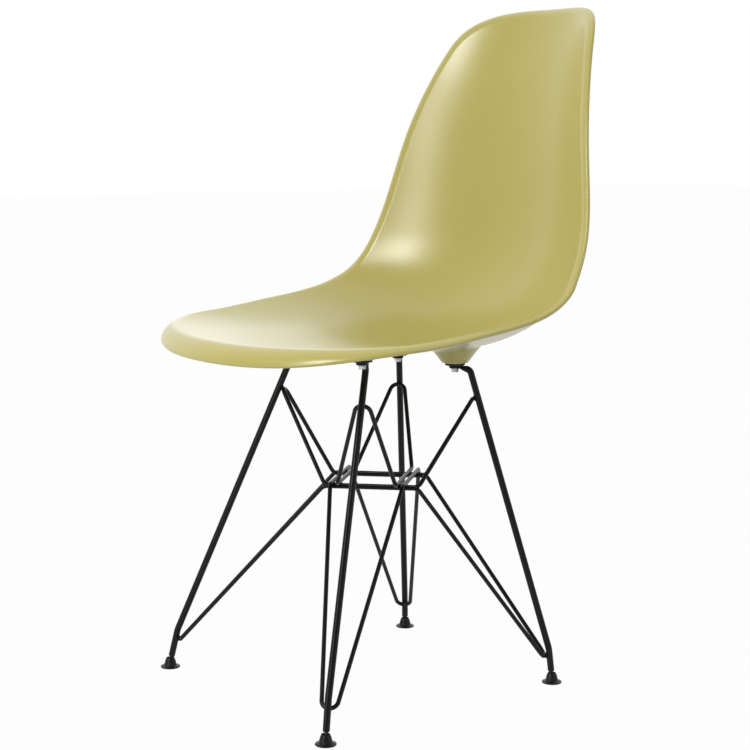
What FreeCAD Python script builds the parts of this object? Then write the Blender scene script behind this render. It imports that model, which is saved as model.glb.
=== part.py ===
"""Moulded plastic side chair: a one-piece shell on a welded frame of bent steel rod.

Millimetres. +Z is up and the sitter looks towards -Y, so the sitter's left is +X.
The origin lies on the floor, midway between the shell's front and back edges.
"""
import FreeCAD, Part
import math
import os

import Sketcher

Vector = FreeCAD.Vector
UP = Vector(0, 0, 1)
ORIGIN = Vector(0, 0, 0)

# Driving dimensions
SIZES = {
    # Shell: centre line of the upper surface, as seen from the side
    "nose_y": -236.6, "nose_z": 428.9,
    "thigh_y": -170.4, "thigh_z": 422.7,
    "seat_y": -29.2, "seat_z": 411.7,
    "low_y": 75.4, "low_z": 407.4,
    "hip_y": 143.7, "hip_z": 433.0,
    "lumbar_y": 200.1, "lumbar_z": 525.6,
    "back_y": 210.6, "back_z": 645.8,
    "shoulder_y": 226.3, "shoulder_z": 737.6,
    "top_y": 248.2, "top_z": 805.1,
    # Shell: half width at seven even stations from nose to top
    "nose_half_width": 204.5,
    "thigh_half_width": 216.5,
    "seat_half_width": 218.0,
    "bend_half_width": 203.1,
    "lumbar_half_width": 186.6,
    "back_half_width": 151.9,
    "top_half_width": 101.5,
    # Shell: how far the sides stand above the centre line at the same stations
    "nose_rise": 13.0,
    "thigh_rise": 20.4,
    "seat_rise": 47.8,
    "bend_rise": 66.5,
    "lumbar_rise": 64.6,
    "back_rise": 46.5,
    "top_rise": 24.8,
    "dish_power": 2.23,
    # Shell: rounded corners of the outline
    "front_corner": 114.8, "front_corner_power": 1.93,
    "top_corner": 60.0, "top_corner_power": 2.95,
    # Shell: rolled lip and wall
    "side_lip_radius": 14.8, "side_lip_angle": 50.9,
    "front_lip_radius": 22.9, "front_lip_angle": 85.6,
    "top_lip_radius": 14.0, "top_lip_angle": 58.0,
    "shell_wall": 5.0,
    # Moulded bosses under the shell
    "boss_radius": 15.5,
    "boss_draft": 37.0,
    "boss_edge": 1.5,
    "boss_reach": 26.0,
    # Mounting screws: place of each pair, and height of the boss face
    "front_mount_x": 86.2, "front_mount_y": -96.9, "front_mount_z": 406.3,
    "rear_mount_x": 57.7, "rear_mount_y": 59.5, "rear_mount_z": 387.5,
    # Spacer discs, inserts, washers and screws
    "spacer_radius": 12.0,
    "spacer_thickness": 3.0,
    "spacer_edge": 0.6,
    "screw_radius": 2.5,
    "screw_clearance": 0.25,
    "screw_length": 17.0,
    "screw_flats": 8.0,
    "screw_head": 3.5,
    "screw_head_ease": 0.2,
    "screw_head_chamfer": 30.0,
    "screw_point": 0.5,
    "washer_radius": 4.6,
    "washer_thickness": 1.2,
    "washer_gap": 1.0,
    "insert_radius": 3.6,
    "insert_collar": 4.6,
    "insert_collar_depth": 1.2,
    "insert_length": 9.0,
    "insert_fit": 0.02,
    "pocket_spare": 1.0,
    "thread_clearance": 0.05,
    # Legs
    "rod_radius": 4.0,
    "eye_radius": 7.0,
    "eye_thickness": 3.6,
    "eye_neck": 5.8,
    "eye_taper": 1.5,
    "eye_lift": 0.2,
    "rod_straight": 0.5,
    "rod_bend": 7.0,
    "low_bend": 30.0,
    "front_foot_x": 172.8, "front_foot_y": -206.3,
    "rear_foot_x": 149.3, "rear_foot_y": 140.4,
    "front_lean": 22.75, "front_tail_lean": 13.1, "front_low_z": 47.6,
    "rear_lean": 16.45, "rear_tail_lean": 6.6, "rear_low_z": 41.6,
    "rod_end_chamfer": 0.9,
    # Wire loops
    "wire_radius": 2.55,
    "weld_gap": 0.05,
    "loop_centre_y": -16.2,
    "loop_turn": 43.5,
    "bar_half_length": 56.5,
    "upper_half_spacing": 35.1,
    "lower_half_spacing": 43.7,
    "bar_height": 243.2,
    "bar_bend": 10.0,
    "arch_bend": 9.5,
    "upper_weld_front": 354.4, "upper_weld_rear": 346.4,
    "lower_weld_front": 38.0, "lower_weld_rear": 33.5,
    # Ball studs and levelling glides
    "ball_height": 7.0,
    "ball_radius": 4.0,
    "ball_clearance": 0.06,
    "neck_radius": 2.2,
    "neck_length": 7.0,
    "stud_depth": 10.0,
    "glide_radius": 12.0,
    "glide_rim": 1.6,
    "glide_edge": 0.5,
    "glide_crown": 3.4,
    "collar_radius": 7.3,
    "collar_top_radius": 5.6,
    "collar_top": 4.6,
    "collar_shoulder": 2.2,
    "mouth_radius": 4.4,
    "mouth_height": 1.8,
    "sole_recess": 0.6,
    "sole_land": 2.0,
}

# Node names of the four corners, with the side of X and the end of the chair
CORNERS = {
    "front_left": (1, "front"),
    "front_right": (-1, "front"),
    "rear_left": (1, "rear"),
    "rear_right": (-1, "rear"),
}
STATIONS = ("nose", "thigh", "seat", "bend", "lumbar", "back", "top")
PROFILE = ("nose", "thigh", "seat", "low", "hip", "lumbar", "back", "shoulder", "top")

document = FreeCAD.newDocument("shell_chair")
sheet = document.addObject("Spreadsheet::Sheet", "sizes")
for row, (alias, number) in enumerate(SIZES.items(), start=1):
    sheet.set("A%d" % row, alias.replace("_", " "))
    sheet.set("B%d" % row, str(number))
    sheet.setAlias("B%d" % row, alias)
document.recompute()


class Size:
    """A number together with the expression that ties it to the sheet."""

    def __init__(self, value, text=None):
        self.value = value
        self.text = text if text else str(value)

    def _join(self, other, sign, value, swapped=False):
        """Return the combined size of this and another operand."""
        other = other if isinstance(other, Size) else Size(other)
        left, right = (other, self) if swapped else (self, other)
        return Size(value(left.value, right.value), "(%s %s %s)" % (left.text, sign, right.text))

    def __add__(self, other):
        return self._join(other, "+", lambda a, b: a + b)

    def __radd__(self, other):
        return self._join(other, "+", lambda a, b: a + b, True)

    def __sub__(self, other):
        return self._join(other, "-", lambda a, b: a - b)

    def __rsub__(self, other):
        return self._join(other, "-", lambda a, b: a - b, True)

    def __mul__(self, other):
        return self._join(other, "*", lambda a, b: a * b)

    def __rmul__(self, other):
        return self._join(other, "*", lambda a, b: a * b, True)

    def __truediv__(self, other):
        return self._join(other, "/", lambda a, b: a / b)

    def __neg__(self):
        return Size(-self.value, "(-%s)" % self.text)

    def least(self, other):
        """Return the smaller of two sizes."""
        return Size(min(self.value, other.value), "min(%s; %s)" % (self.text, other.text))

    def root(self):
        """Return the square root."""
        return Size(math.sqrt(self.value), "sqrt(%s)" % self.text)

    def tangent(self):
        """Return the tangent of this angle, which is in degrees."""
        return Size(math.tan(math.radians(self.value)), "tan(%s * 1 deg)" % self.text)

    def sine(self):
        """Return the sine of this angle, which is in degrees."""
        return Size(math.sin(math.radians(self.value)), "sin(%s * 1 deg)" % self.text)

    def cosine(self):
        """Return the cosine of this angle, which is in degrees."""
        return Size(math.cos(math.radians(self.value)), "cos(%s * 1 deg)" % self.text)


ZERO = Size(0)


def size(alias):
    """Return a sheet value as a size with its expression."""
    return Size(float(sheet.get(alias)), "sizes." + alias)


def number(alias):
    """Return a sheet value as a plain number."""
    return float(sheet.get(alias))


# Sketches and bodies

def origin_plane(body, role):
    """Return one of the body's own origin planes."""
    return [feature for feature in body.Origin.OriginFeatures if feature.Role == role][0]


def new_body(name):
    """Return an empty body with its own label."""
    body = document.addObject("PartDesign::Body", name)
    body.Label = name
    return body


def new_sketch(body, name, role, offset=None):
    """Return a sketch on one of the body's origin planes, raised by an optional size."""
    sketch = body.newObject("Sketcher::SketchObject", name)
    sketch.AttachmentSupport = [(origin_plane(body, role), "")]
    sketch.MapMode = "FlatFace"
    if offset is not None:
        sketch.AttachmentOffset = FreeCAD.Placement(Vector(0, 0, offset.value), FreeCAD.Rotation())
        sketch.setExpression("AttachmentOffset.Base.z", offset.text)
    return sketch


def bind(sketch, constraint, measure):
    """Add a dimension and tie it to the sheet."""
    index = sketch.addConstraint(constraint)
    sketch.setExpression("Constraints[%d]" % index, measure.text)
    return index


def pin_point(sketch, geometry, end, across, along):
    """Hold a point of the sketch at the given distances from its origin."""
    for measure, kind, axis in ((across, "DistanceX", -2), (along, "DistanceY", -1)):
        if measure.value == 0:
            sketch.addConstraint(Sketcher.Constraint("PointOnObject", geometry, end, axis))
        else:
            bind(sketch, Sketcher.Constraint(kind, -1, 1, geometry, end, measure.value), measure)


def outline(sketch, corners):
    """Draw a closed outline of straight lines through the given corners."""
    points = [Vector(across.value, along.value, 0) for across, along in corners]
    count = len(points)
    for index in range(count):
        sketch.addGeometry(Part.LineSegment(points[index], points[(index + 1) % count]), False)
    for index in range(count):
        sketch.addConstraint(
            Sketcher.Constraint("Coincident", index, 2, (index + 1) % count, 1))
        pin_point(sketch, index, 1, *corners[index])


def circle(sketch, across, along, radius):
    """Draw a circle with its centre held at the given place."""
    index = sketch.addGeometry(
        Part.Circle(Vector(across.value, along.value, 0), UP, radius.value), False)
    bind(sketch, Sketcher.Constraint("Radius", index, radius.value), radius)
    pin_point(sketch, index, 3, across, along)
    return index


def turned(body, corners, name="turned_profile", cut=False):
    """Revolve an outline of (radius, height) corners about the body's upright axis."""
    sketch = new_sketch(body, name, "XZ_Plane")
    outline(sketch, corners)
    kind = "PartDesign::Groove" if cut else "PartDesign::Revolution"
    feature = body.newObject(kind, name + "_turn")
    feature.Profile = sketch
    feature.ReferenceAxis = (sketch, ["V_Axis"])
    feature.Angle = 360
    sketch.Visibility = False
    return feature


def place(feature, x, y, z, turn=0.0):
    """Put a finished sub-part at its place in the chair."""
    feature.Placement = FreeCAD.Placement(Vector(x, y, z), FreeCAD.Rotation(UP, turn))


# Where each corner's mount, foot and leg plane lie

def mount_point(side, end):
    """Return the centre of the boss face at a corner."""
    return Vector(side * number(end + "_mount_x"), number(end + "_mount_y"), number(end + "_mount_z"))


def foot_point(side, end):
    """Return the centre of the ball at a foot."""
    return Vector(side * number(end + "_foot_x"), number(end + "_foot_y"), number("ball_height"))


def leg_heading(side, end):
    """Return the unit vector in plan from mount to foot."""
    run = foot_point(side, end) - mount_point(side, end)
    run.z = 0
    return run.normalize()


def rod_height(end):
    """Return the height of the rod's axis where it lies flat under the spacer."""
    crown = number("rod_radius") + number("eye_lift")
    return number(end + "_mount_z") - number("spacer_thickness") - crown


def foot_reach(end):
    """Return the distance in plan from mount to foot, as a size."""
    across = size(end + "_foot_x") - size(end + "_mount_x")
    along = size(end + "_foot_y") - size(end + "_mount_y")
    return (across * across + along * along).root()


def leg_corners(end):
    """Return the leg's corners in its own plane, as (reach, height above the flat rod)."""
    crown = size("rod_radius") + size("eye_lift")
    drop = size(end + "_mount_z") - size("spacer_thickness") - crown
    foot = (foot_reach(end), size("ball_height") - drop)
    low_height = size(end + "_low_z")
    low_reach = foot[0] - (low_height - size("ball_height")) * size(end + "_tail_lean").tangent()
    low = (low_reach, low_height - drop)
    top = (low_reach + low[1] * size(end + "_lean").tangent(), ZERO)
    return top, low, foot


def leg_axis(side, end, height):
    """Return the point and upward direction of the leg's axis at a height."""
    top, low, foot = [
        mount_point(side, end) + leg_heading(side, end) * across.value
        + UP * (rod_height(end) + along.value - number(end + "_mount_z"))
        for across, along in leg_corners(end)]
    lower, upper = (low, top) if height > low.z else (foot, low)
    direction = upper - lower
    point = lower + direction * ((height - lower.z) / direction.z)
    return point, direction.normalize()


# Legs

def leg_path(body, end):
    """Draw the leg's axis: flat at the eye, two bends, and down to the rod's lower end."""
    top, low, foot = leg_corners(end)
    lean, tail = size(end + "_lean"), size(end + "_tail_lean")
    inner = 1 if top[0].value > 0 else -1
    first_reach = size("rod_bend") * ((90 - lean * inner) / 2).tangent()
    start = size("eye_neck").least(top[0] * inner - first_reach - size("rod_straight")) * inner
    second_reach = size("low_bend") * ((lean - tail) / 2).tangent()
    neck = size("neck_length")
    stops = [
        (start, ZERO),
        (top[0] - first_reach * inner, ZERO),
        (top[0] + first_reach * lean.sine(), -first_reach * lean.cosine()),
        (low[0] - second_reach * lean.sine(), low[1] + second_reach * lean.cosine()),
        (low[0] + second_reach * tail.sine(), low[1] - second_reach * tail.cosine()),
        (foot[0] - neck * tail.sine(), foot[1] + neck * tail.cosine()),
    ]
    points = [Vector(across.value, along.value, 0) for across, along in stops]
    corners = [Vector(across.value, along.value, 0) for across, along in (top, low)]
    sketch = new_sketch(body, "leg_path", "XZ_Plane")
    for index, bend in ((0, None), (1, "rod_bend"), (2, None), (3, "low_bend"), (4, None)):
        first, last = points[index], points[index + 1]
        if bend is None:
            geometry = sketch.addGeometry(Part.LineSegment(first, last), False)
        else:
            corner = corners[index // 2]
            middle = arc_middle(first, corner, last, number(bend))
            geometry = sketch.addGeometry(Part.Arc(first, middle, last), False)
            bind(sketch, Sketcher.Constraint("Radius", geometry, number(bend)), size(bend))
        near = 1 if (sketch.getPoint(geometry, 1) - first).Length < 0.001 else 2
        pin_point(sketch, geometry, near, *stops[index])
        pin_point(sketch, geometry, 3 - near, *stops[index + 1])
    return sketch, start, stops[-1]


def arc_middle(first, corner, last, radius):
    """Return the middle of the arc that rounds a corner between two tangent points."""
    inward = ((first - corner).normalize() + (last - corner).normalize()).normalize()
    reach = (first - corner).Length
    return corner + inward * (math.hypot(radius, reach) - radius)


def leg(name, side, end):
    """Make one leg: bent rod, coined eye with its screw hole, drilled and chamfered foot."""
    body = new_body(name)
    path, start, stop = leg_path(body, end)
    section = new_sketch(body, "rod_section", "YZ_Plane", start)
    circle(section, ZERO, ZERO, size("rod_radius"))
    document.recompute()
    pipe = body.newObject("PartDesign::AdditivePipe", "rod")
    pipe.Profile = section
    pipe.Spine = path

    thickness = size("eye_thickness")
    under = size("rod_radius") + size("eye_lift") - thickness
    eye = new_sketch(body, "eye_outline", "XY_Plane", under)
    circle(eye, ZERO, ZERO, size("eye_radius"))
    pad(body, eye, thickness)
    shoulder = start * size("eye_taper")
    paddle = new_sketch(body, "paddle_outline", "XY_Plane", under)
    outline(paddle, [(ZERO, -size("eye_radius")), (shoulder, -size("rod_radius")),
                     (shoulder, size("rod_radius")), (ZERO, size("eye_radius"))])
    pad(body, paddle, thickness)
    hole = size("screw_radius") + size("screw_clearance")
    depth = size("rod_radius") * 2
    turned(body, [(ZERO, -depth), (hole, -depth), (hole, depth), (ZERO, depth)], "screw_hole", True)

    tail = size(end + "_tail_lean")
    sketch = new_sketch(body, "foot_bore", "XZ_Plane")

    def tail_corner(radius, along):
        """Return a point by its distance from the tail's axis and up the tail."""
        return (stop[0] + radius * tail.cosine() - along * tail.sine(),
                stop[1] + radius * tail.sine() + along * tail.cosine())

    bore = size("neck_radius") + size("thread_clearance")
    chamfer = size("rod_end_chamfer")
    rim = size("rod_radius")
    outline(sketch, [tail_corner(ZERO, -chamfer), tail_corner(rim + chamfer, -chamfer),
                     tail_corner(rim + chamfer, chamfer * 2), tail_corner(rim - chamfer, ZERO),
                     tail_corner(bore, ZERO), tail_corner(bore, size("stud_depth")),
                     tail_corner(ZERO, size("stud_depth"))])
    groove = body.newObject("PartDesign::Groove", "foot_bore_turn")
    groove.Profile = sketch
    groove.ReferenceAxis = (sketch, ["Edge7"])
    groove.Angle = 360
    heading = leg_heading(side, end)
    mount = mount_point(side, end)
    place(body, mount.x, mount.y, rod_height(end), math.degrees(math.atan2(heading.y, heading.x)))
    return body


def pad(body, sketch, length):
    """Pad a sketch upwards by a length."""
    feature = body.newObject("PartDesign::Pad", sketch.Name + "_pad")
    feature.Profile = sketch
    feature.Length = length.value
    feature.setExpression("Length", length.text)
    sketch.Visibility = False
    return feature


# Wire loops

def rod_round(points, bends, radius):
    """Return a closed rod of one radius through the points, rounded at each by its bend."""
    count = len(points)
    cuts = []
    for index in range(count):
        corner = points[index]
        before = (points[index - 1] - corner).normalize()
        after = (points[(index + 1) % count] - corner).normalize()
        reach = bends[index] / math.tan(before.getAngle(after) / 2)
        cuts.append((corner + before * reach, corner, corner + after * reach))
    pieces = []
    for index in range(count):
        first, corner, last = cuts[index]
        following = cuts[(index + 1) % count][0]
        run = following - last
        pieces.append(Part.makeCylinder(radius, run.Length, last, run))
        axis = (corner - first).cross(last - corner)
        inward = ((first - corner).normalize() + (last - corner).normalize()).normalize()
        centre = corner + inward * math.hypot(bends[index], (first - corner).Length)
        turn = math.degrees((first - centre).getAngle(last - centre))
        disc = Part.Face(Part.Wire(Part.makeCircle(radius, first, corner - first)))
        pieces.append(disc.revolve(centre, axis, turn))
    return pieces[0].fuse(pieces[1:]).removeSplitter()


def loop_end(side, end, level, middle):
    """Return the point of the wire's axis that is welded to a leg, facing the loop's middle."""
    point, direction = leg_axis(side, end, number("%s_weld_%s" % (level, end)))
    inward = middle - point
    inward = (inward - direction * inward.dot(direction)).normalize()
    return point + inward * (number("rod_radius") + number("wire_radius") + number("weld_gap"))


def wire_loop(name, side, level, layer):
    """Make one closed loop from a front leg to the rear leg diagonally across.

    Two level bars cross the middle of the frame. At each end of them the wire turns towards
    the leg, and the two branches close in an arch whose crown is welded to the leg.
    """
    turn = math.radians(number("loop_turn"))
    along = Vector(side * math.sin(turn), -math.cos(turn), 0)
    across = Vector(side * math.cos(turn), math.sin(turn), 0)
    wire = number("wire_radius")
    height = number("bar_height") + layer * (2 * wire + number("weld_gap"))
    centre = Vector(0, number("loop_centre_y"), height)
    spacing = number(level + "_half_spacing")
    arch = number("arch_bend")
    crowns = []
    middles = []
    for end, way in (("front", 1), ("rear", -1)):
        middle = centre + along * (way * number("bar_half_length"))
        crown = loop_end(side * way, end, level, middle)
        rise = crown - middle
        inner = rise.Length - arch
        half_angle = math.acos(arch / math.hypot(spacing, inner)) - math.atan2(inner, spacing)
        crowns.append(middle + rise.normalize() * (spacing / math.tan(half_angle)))
        middles.append(middle)
    offset = across * spacing
    points = [crowns[0], middles[0] + offset, middles[1] + offset,
              crowns[1], middles[1] - offset, middles[0] - offset]
    bar = number("bar_bend")
    feature = document.addObject("Part::Feature", name)
    feature.Label = name
    feature.Shape = rod_round(points, [arch, bar, bar, arch, bar, bar], wire)
    return feature


# Shell

# Shares of one turn of the crest taken by its front and top corners
FRONT_SHARE = 0.3
TOP_SHARE = 0.25
# How finely the shell's surfaces are laid out
CREST_STEPS = 400
SIDE_SPANS = 26
END_SPANS = 14
LIP_RINGS = 3
PATCH_ROWS = 9
PATCH_MARGIN = 1.15


def natural_spline(knots, values):
    """Return the natural cubic spline through the values as a function."""
    count = len(knots)
    gaps = [knots[index + 1] - knots[index] for index in range(count - 1)]
    bends = [0.0] * count
    shares = [0.0] * count
    for index in range(1, count - 1):
        slope_after = (values[index + 1] - values[index]) / gaps[index]
        slope_before = (values[index] - values[index - 1]) / gaps[index - 1]
        spread = 2 * (gaps[index - 1] + gaps[index]) - gaps[index - 1] * shares[index - 1]
        shares[index] = gaps[index] / spread
        bends[index] = (3 * (slope_after - slope_before) - gaps[index - 1] * bends[index - 1]) / spread
    for index in range(count - 2, 0, -1):
        bends[index] -= shares[index] * bends[index + 1]

    def spline(place_on_line):
        """Return the spline's value."""
        index = 0
        while index < count - 2 and place_on_line > knots[index + 1]:
            index += 1
        gap = gaps[index]
        step = place_on_line - knots[index]
        slope = (values[index + 1] - values[index]) / gap - gap * (2 * bends[index] + bends[index + 1]) / 3
        twist = (bends[index + 1] - bends[index]) / (3 * gap)
        return values[index] + step * (slope + step * (bends[index] + step * twist))

    return spline


class ShellForm:
    """The shell's upper surface, given by a place along the centre line and across it."""

    def __init__(self):
        profile = [(number(name + "_y"), number(name + "_z")) for name in PROFILE]
        knots = [0.0]
        for before, after in zip(profile, profile[1:]):
            knots.append(knots[-1] + math.dist(before, after))
        self.length = knots[-1]
        self.line_y = natural_spline(knots, [point[0] for point in profile])
        self.line_z = natural_spline(knots, [point[1] for point in profile])
        even = [self.length * index / (len(STATIONS) - 1) for index in range(len(STATIONS))]
        self.half_width = natural_spline(even, [number(name + "_half_width") for name in STATIONS])
        self.rise = natural_spline(even, [number(name + "_rise") for name in STATIONS])

    def place_at(self, y):
        """Return the place along the seat's centre line that lies at a distance front to back."""
        low, high = 0.0, self.length / 2
        while high - low > 0.01:
            middle = (low + high) / 2
            low, high = (middle, high) if self.line_y(middle) < y else (low, middle)
        return low

    def facing(self, along):
        """Return the centre line's normal, towards the sitter."""
        half_step = 0.5
        middle = min(max(along, half_step), self.length - half_step)
        run_y = self.line_y(middle + half_step) - self.line_y(middle - half_step)
        run_z = self.line_z(middle + half_step) - self.line_z(middle - half_step)
        return Vector(0, -run_z, run_y).normalize()

    def point(self, along, across):
        """Return a point of the dish: the centre line raised by a power of the distance off it."""
        inside = min(max(along, 0.0), self.length)
        share = abs(across) / self.half_width(inside)
        lift = self.rise(inside) * share ** number("dish_power")
        base = Vector(across, self.line_y(inside), self.line_z(inside))
        return base + self.facing(inside) * lift

    def normal(self, along, across):
        """Return the dish's normal, towards the sitter."""
        step = 1.0
        down_line = self.point(along + step, across) - self.point(along - step, across)
        off_line = self.point(along, across + step) - self.point(along, across - step)
        return off_line.cross(down_line).normalize()

    def crest(self, turn):
        """Return a place on the crest of the lip, as (along, across).

        The turn is 0 at the nose, 1 at the top and 2 at the nose again, up one side and down
        the other. The corners are superellipses and the sides follow the half width.
        """
        turn %= 2
        if turn > 1:
            along, across = self.crest(2 - turn)
            return along, -across
        front, top = number("front_corner"), number("top_corner")
        if turn < FRONT_SHARE:
            angle = turn / FRONT_SHARE * math.pi / 2
            power = 2 / number("front_corner_power")
            along = front * (1 - math.cos(angle) ** power)
            narrowing = math.sin(angle) ** power
        elif turn < 1 - TOP_SHARE:
            share = (turn - FRONT_SHARE) / (1 - FRONT_SHARE - TOP_SHARE)
            along = front + (self.length - front - top) * share
            narrowing = 1.0
        else:
            angle = (turn - 1 + TOP_SHARE) / TOP_SHARE * math.pi / 2
            power = 2 / number("top_corner_power")
            along = self.length - top + top * math.sin(angle) ** power
            narrowing = max(math.cos(angle), 0.0) ** power
        return along, narrowing * self.half_width(along)

    def even_turns(self, first, last, steps):
        """Return turns between two others at even distances along the crest."""
        dense = [first + (last - first) * index / CREST_STEPS for index in range(CREST_STEPS + 1)]
        run = [0.0]
        for before, after in zip(dense, dense[1:]):
            run.append(run[-1] + math.dist(self.crest(before), self.crest(after)))
        turns = [first]
        index = 0
        for step in range(1, steps):
            target = run[-1] * step / steps
            while run[index + 1] < target:
                index += 1
            share = (target - run[index]) / (run[index + 1] - run[index])
            turns.append(dense[index] + (dense[index + 1] - dense[index]) * share)
        return turns + [last]

    def sectors(self):
        """Return the crest as four lists of turns: front, left side, top and right side."""
        front, top = FRONT_SHARE / 2, TOP_SHARE / 2
        return (self.even_turns(-front, front, END_SPANS),
                self.even_turns(front, 1 - top, SIDE_SPANS),
                self.even_turns(1 - top, 1 + top, END_SPANS),
                self.even_turns(1 + top, 2 - front, SIDE_SPANS))

    def lip(self, along):
        """Return the lip's radius and angle at a place along the shell."""
        front = min(max(1 - along / number("front_corner"), 0.0), 1.0)
        top = min(max(1 - (self.length - along) / number("top_corner"), 0.0), 1.0)
        front = front * front * (3 - 2 * front)
        top = top * top * (3 - 2 * top)
        blended = []
        for kind in ("radius", "angle"):
            side_value = number("side_lip_" + kind)
            blended.append(side_value + (number("front_lip_" + kind) - side_value) * front
                           + (number("top_lip_" + kind) - side_value) * top)
        return blended[0], math.radians(blended[1])

    def rolled(self, turn, share):
        """Return a point of the lip, its normal and its outward direction, some way round it."""
        step = 0.002
        spot = self.crest(turn)
        point, normal = self.point(*spot), self.normal(*spot)
        forward = self.point(*self.crest(turn + step)) - self.point(*self.crest(turn - step))
        outward = forward.cross(normal).normalize()
        radius, angle = self.lip(spot[0])
        angle *= share
        point += outward * (radius * math.sin(angle)) - normal * (radius * (1 - math.cos(angle)))
        return (point, normal * math.cos(angle) + outward * math.sin(angle),
                outward * math.cos(angle) - normal * math.sin(angle))

    def dish(self):
        """Return rows of (point, normal) from the front to the top, inside the crest.

        The places are spread between the four sectors of the crest as a Coons patch.
        """
        front, left, top, right = [[self.crest(turn) for turn in turns] for turns in self.sectors()]
        top.reverse()
        right.reverse()
        rows = []
        for row in range(SIDE_SPANS + 1):
            up = row / SIDE_SPANS
            line = []
            for column in range(END_SPANS + 1):
                off = column / END_SPANS
                place = [
                    (1 - up) * front[column][axis] + up * top[column][axis]
                    + (1 - off) * right[row][axis] + off * left[row][axis]
                    - (1 - up) * ((1 - off) * front[0][axis] + off * front[-1][axis])
                    - up * ((1 - off) * top[0][axis] + off * top[-1][axis])
                    for axis in range(2)]
                line.append((self.point(*place), self.normal(*place)))
            rows.append(line)
        return rows


def row_curve(points):
    """Return a smooth curve through a row of points."""
    curve = Part.BSplineCurve()
    curve.interpolate(Points=points, Parameters=[float(index) for index in range(len(points))])
    return curve


def woven(rows):
    """Return a face that passes smoothly through rows of points."""
    rows = [row_curve(row) for row in rows]
    columns = [row_curve(list(column)) for column in zip(*[row.getPoles() for row in rows])]
    poles = [list(row) for row in zip(*[column.getPoles() for column in columns])]
    surface = Part.BSplineSurface()
    surface.buildFromPolesMultsKnots(
        poles, columns[0].getMultiplicities(), rows[0].getMultiplicities(),
        columns[0].getKnots(), rows[0].getKnots(), False, False, 3, 3)
    return surface.toShape()


def quarter_round(rim, half_wall, way):
    """Return a quarter round from one face of the lip to the middle of its edge, as exact arcs.

    The way is 1 for the upper face and -1 for the lower one.
    """
    rows = []
    for up, out in ((1, 0), (1, 1), (0, 1)):
        rows.append(row_curve([point - normal * (half_wall * (1 - up * way)) + onward * (half_wall * out)
                               for point, normal, onward in rim]))
    surface = Part.BSplineSurface()
    surface.buildFromPolesMultsKnots(
        [row.getPoles() for row in rows], [3, 3], rows[0].getMultiplicities(),
        [0, 1], rows[0].getKnots(), False, False, 2, 3,
        [[weight] * row.NbPoles for weight, row in zip((1, math.sqrt(0.5), 1), rows)])
    return surface.toShape()


def shell_wall(form):
    """Return the shell's wall: dish and lip, rounded edge, and the underside at one thickness."""
    wall = number("shell_wall")
    sheets = [form.dish()]
    faces = []
    for turns in form.sectors():
        rings = [[form.rolled(turn, ring / LIP_RINGS) for turn in turns]
                 for ring in range(LIP_RINGS + 1)]
        sheets.append([[(point, normal) for point, normal, onward in ring] for ring in rings])
        faces += [quarter_round(rings[-1], wall / 2, way) for way in (1, -1)]
    for rows in sheets:
        faces.append(woven([[point for point, normal in row] for row in rows]))
        faces.append(woven([[point - normal * wall for point, normal in row] for row in rows]))
    shell = Part.Shell(faces)
    shell.sewShape()
    return Part.Solid(shell)


def boss(side, end, form):
    """Return one moulded boss: a cone that widens upwards into the middle of the shell's wall."""
    mount = mount_point(side, end)
    middle = number("shell_wall") / 2
    radius, draft = number("boss_radius"), math.tan(math.radians(number("boss_draft")))
    height = number("boss_reach")
    cone = Part.makeCone(radius, radius + height * draft, height, mount)
    rim = [edge for edge in cone.Edges if abs(edge.BoundBox.ZMax - mount.z) < 0.01
           and edge.Curve.TypeId == "Part::GeomCircle"]
    cone = cone.makeFillet(number("boss_edge"), rim)
    spread = radius + height * draft
    start = form.place_at(mount.y)
    patch = []
    for row in range(PATCH_ROWS):
        along = start + spread * PATCH_MARGIN * (2 * row / (PATCH_ROWS - 1) - 1)
        line = []
        for column in range(PATCH_ROWS):
            across = mount.x + spread * PATCH_MARGIN * (2 * column / (PATCH_ROWS - 1) - 1)
            line.append(form.point(along, across) - form.normal(along, across) * middle)
        patch.append(line)
    surface = Part.BSplineSurface()
    surface.interpolate(patch)
    above = surface.toShape().extrude(UP * (height * 2))
    return cone.cut(above)


def seat_shell():
    """Make the moulded shell: wall, four bosses, and a pocket for each threaded insert."""
    form = ShellForm()
    corners = list(CORNERS.values())
    solid = shell_wall(form).fuse([boss(side, end, form) for side, end in corners])
    pockets = []
    for side, end in corners:
        mount = mount_point(side, end)
        seat = number("insert_fit")
        length = number("insert_length") + number("pocket_spare")
        pockets.append(Part.makeCylinder(number("insert_radius") + seat, length, mount))
        pockets.append(Part.makeCylinder(
            number("insert_collar") + seat, number("insert_collar_depth") + seat, mount))
    feature = document.addObject("Part::Feature", "seat_shell")
    feature.Label = "seat_shell"
    feature.Shape = solid.cut(pockets)
    return feature


# Turned pieces at each mount

def threaded_insert(name, side, end):
    """Make one moulded-in insert, its collar flush with the boss face."""
    body = new_body(name)
    bore = size("screw_radius") + size("thread_clearance")
    turned(body, [(bore, ZERO), (size("insert_collar"), ZERO),
                  (size("insert_collar"), size("insert_collar_depth")),
                  (size("insert_radius"), size("insert_collar_depth")),
                  (size("insert_radius"), size("insert_length")), (bore, size("insert_length"))])
    place(body, *mount_point(side, end))
    return body


def rubber_spacer(name, side, end):
    """Make one spacer disc with eased edges."""
    body = new_body(name)
    bore = size("screw_radius") + size("screw_clearance")
    radius, thick, edge = size("spacer_radius"), size("spacer_thickness"), size("spacer_edge")
    turned(body, [(bore, ZERO), (radius - edge, ZERO), (radius, edge),
                  (radius, thick - edge), (radius - edge, thick), (bore, thick)])
    mount = mount_point(side, end)
    place(body, mount.x, mount.y, mount.z - number("spacer_thickness"))
    return body


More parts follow.
